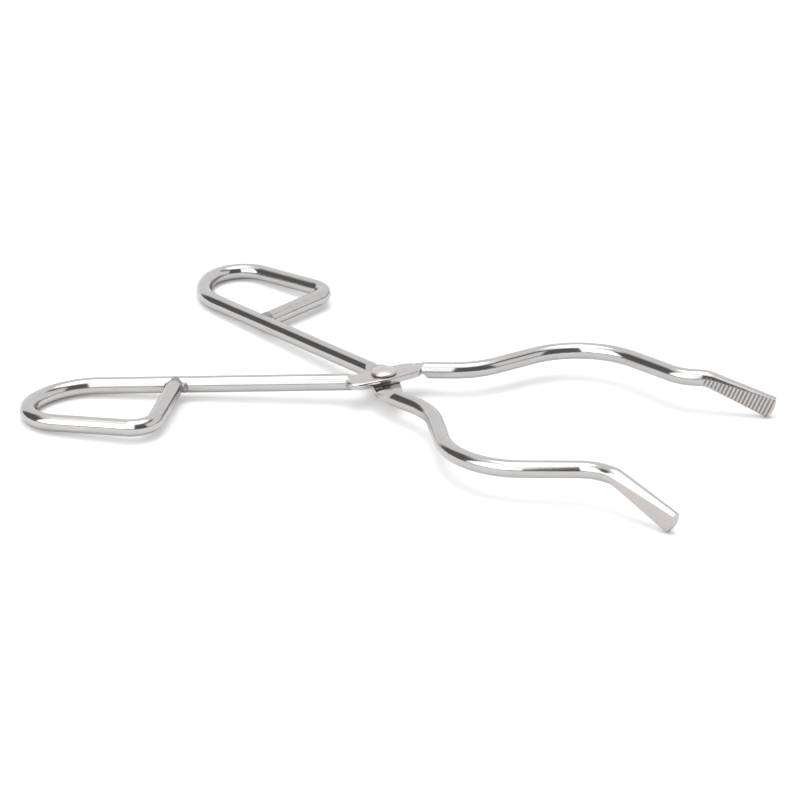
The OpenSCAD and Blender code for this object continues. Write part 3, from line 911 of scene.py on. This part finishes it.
class TONGS_OT_welds(bpy.types.Operator):
    """Lay the welds between each bow's crossbar and its shank"""
    bl_idname = "tongs.welds"
    bl_label = "Welds"

    def execute(self, context):
        arm = Arm()
        s, j, f = arm.s, arm.j, context.scene.tongs_finish
        for name, side, body in (("upper_bow_weld", 1, "upper_half"), ("lower_bow_weld", -1, "lower_half")):
            back = arm.corner[2] + math.pi
            clear_selection()
            bpy.ops.mesh.primitive_cylinder_add(vertices=BORE_ROUND, radius=arm.r + WELD_PROUD, depth=j.weld_face)
            obj = context.object
            obj.name = name + "_dressed"
            place(obj, turn(back, "Z") @ turn(math.pi / 2, "Y") @ Matrix.Translation((0, 0, j.weld_face / 2)))
            begin_edit(obj)
            pick(obj, lambda p: is_cap(p) and p.center.length > j.weld_face / 2, "FACE")
            bpy.ops.mesh.bevel(offset=WELD_EDGE, segments=2, affect="EDGES")
            bpy.ops.object.mode_set(mode="OBJECT")
            for k in (-1, 1):
                clear_selection()
                bpy.ops.mesh.primitive_uv_sphere_add(segments=32, ring_count=16, radius=j.weld_r,
                                                     location=(k * arm.r, -arm.r, 0))
                bead = context.object
                bead.scale = (1, 1, BEAD_STRETCH)
                bpy.ops.object.transform_apply()
                combine(obj, bead, "UNION")
            m = obj.modifiers.new("melt", "REMESH")
            m.mode, m.voxel_size = "VOXEL", WELD_GRAIN
            soft = obj.modifiers.new("flow", "SMOOTH")
            soft.iterations = WELD_FLOW
            apply_all(obj)
            place(obj, arm.opened(side) @ arm.shank_frame @ Matrix.Translation((arm.weld_x, -s.shank_offset, 0)))
            select_only(obj)
            bpy.ops.object.shade_smooth()
            # Painted shade: the dark weld colour stands for the shade in the crossbar's corner
            finish(obj, steel(name + "_steel", f.shaded_weld_steel, f.weld_rough))
            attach(obj, body)
            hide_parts(name)
        return {"FINISHED"}


# What stands round the table, in front of a pale wall: the name of its colour, its west and east edges,
# its lowest and highest edges, and how soft they are, all in degrees
STUDIO = [
    ("dim_room", -103, -40, -4, 50, 5.0),    # dark screen on the left
    ("dim_room", 0, 80, -4, 58, 4.0),        # dark screen on the right
    ("dim_room", 20, 150, 47, 58, 3.0),      # rail over the back right
    ("dim_room", -60, 170, -1, 6, 2.0),      # gap under the lights
    ("high_light", -181, 181, 65, 91, 6.0),  # light overhead
]


class TONGS_OT_stage(bpy.types.Operator):
    """Set the table, the soft studio light and the camera"""
    bl_idname = "tongs.stage"
    bl_label = "Stage"

    def execute(self, context):
        f = context.scene.tongs_studio
        clear_selection()
        bpy.ops.mesh.primitive_plane_add(size=f.floor_size, location=(0, 0, -f.floor_gap))
        floor = context.object
        floor.name = "table"
        place(floor, floor.matrix_world.copy())
        m = bpy.data.materials.new("table_white")
        m.use_nodes = True
        t = m.node_tree
        p = t.nodes["Principled BSDF"]
        p.inputs["Base Color"].default_value = (*f.floor, 1)
        p.inputs["Roughness"].default_value = 0.9
        p.inputs["Specular IOR Level"].default_value = 0.1
        # The picture's table is burnt out to white: a little glow that only the camera sees
        p.inputs["Emission Color"].default_value = (1, 1, 1, 1)
        glow = calc(t, "MULTIPLY", node(t, "ShaderNodeLightPath").outputs["Is Camera Ray"], f.floor_glow)
        t.links.new(glow, p.inputs["Emission Strength"])
        finish(floor, m)

        world = bpy.data.worlds.new("studio")
        context.scene.world = world
        world.use_nodes = True
        t = world.node_tree
        split = node(t, "ShaderNodeSeparateXYZ")
        t.links.new(node(t, "ShaderNodeTexCoord").outputs["Generated"], split.inputs[0])
        # Heading is measured from -Y towards +X, height from the table's plane, both in radians
        heading = calc(t, "ARCTAN2", split.outputs["X"], calc(t, "MULTIPLY", split.outputs["Y"], -1.0))
        height = calc(t, "ARCSINE", split.outputs["Z"])

        def span(value, low, high, soft):
            """1 between two angles, given in degrees, with soft edges."""
            low, high, soft = math.radians(low), math.radians(high), math.radians(soft)
            rise = ramp(t, value, low - soft, low + soft, 0.0, 1.0)
            fall = ramp(t, value, high - soft, high + soft, 1.0, 0.0)
            return calc(t, "MULTIPLY", rise, fall)

        room = f.back_wall
        for colour, west, east, low, high, soft in STUDIO:
            mask = calc(t, "MULTIPLY", span(heading, west, east, soft), span(height, low, high, soft))
            room = blend(t, mask, room, getattr(f, colour))
        # The backdrop is plain white in the picture
        seen = blend(t, node(t, "ShaderNodeLightPath").outputs["Is Camera Ray"], room, (1, 1, 1))
        t.links.new(seen, t.nodes["Background"].inputs["Color"])

        def softbox(name, size, energy, location, target):
            data = bpy.data.lights.new(name, "AREA")
            data.shape, data.energy = "RECTANGLE", energy
            data.size, data.size_y = size
            lamp = bpy.data.objects.new(name, data)
            context.collection.objects.link(lamp)
            lamp.location = location
            lamp.rotation_euler = (Vector(target) - Vector(location)).to_track_quat("-Z", "Y").to_euler()
        softbox("overhead", (f.overhead_size, f.overhead_size), f.overhead_power, f.overhead_at, (0, 0, 0))
        # The large light stands just left of the camera's line of sight, its lower edge over the table
        softbox("camera side", f.side_size, f.side_power, f.side_at, (f.side_at[0], 0, f.side_at[2]))

        cam = bpy.data.cameras.new("camera")
        eye = bpy.data.objects.new("camera", cam)
        context.collection.objects.link(eye)
        cam.sensor_width, cam.lens = f.camera_sensor, f.camera_lens
        cam.clip_start, cam.clip_end = 0.01, 20
        cam.dof.use_dof = False
        away = (Vector(f.camera_aim) - Vector(f.camera_at)).to_track_quat("-Z", "Y").to_matrix().to_4x4()
        eye.matrix_world = Matrix.Translation(f.camera_at) @ away @ turn(f.camera_roll, "Z")
        context.scene.camera = eye
        context.scene.view_settings.view_transform = "Standard"
        return {"FINISHED"}


class TONGS_PT_panel(bpy.types.Panel):
    """Lists the sizes, the finishes and the steps"""
    bl_idname = "TONGS_PT_panel"
    bl_label = "Crucible tongs"
    bl_space_type = "VIEW_3D"
    bl_region_type = "UI"
    bl_category = "Tongs"

    def draw(self, context):
        for name in GROUPS:
            group, box = getattr(context.scene, name), self.layout.box()
            for prop in group.bl_rna.properties:
                if prop.identifier not in ("rna_type", "name"):
                    box.prop(group, prop.identifier)
        for op in OPERATORS:
            self.layout.operator(op.bl_idname)


OPERATORS = [TONGS_OT_arms, TONGS_OT_rivet, TONGS_OT_welds, TONGS_OT_stage]
CLASSES += OPERATORS + [TONGS_PT_panel]
GROUPS = {"tongs_rod": TongsRodSizes, "tongs_tip": TongsTipSizes, "tongs_joint": TongsJointSizes,
          "tongs_finish": TongsFinish, "tongs_studio": TongsStudio}


def register():
    for c in CLASSES:
        bpy.utils.register_class(c)
    for name, group in GROUPS.items():
        setattr(bpy.types.Scene, name, PointerProperty(type=group))


def unregister():
    for name in GROUPS:
        delattr(bpy.types.Scene, name)
    for c in reversed(CLASSES):
        bpy.utils.unregister_class(c)


def main():
    register()
    bpy.ops.tongs.arms()
    bpy.ops.tongs.rivet()
    bpy.ops.tongs.welds()
    bpy.ops.tongs.stage()


if __name__ == "__main__":
    main()
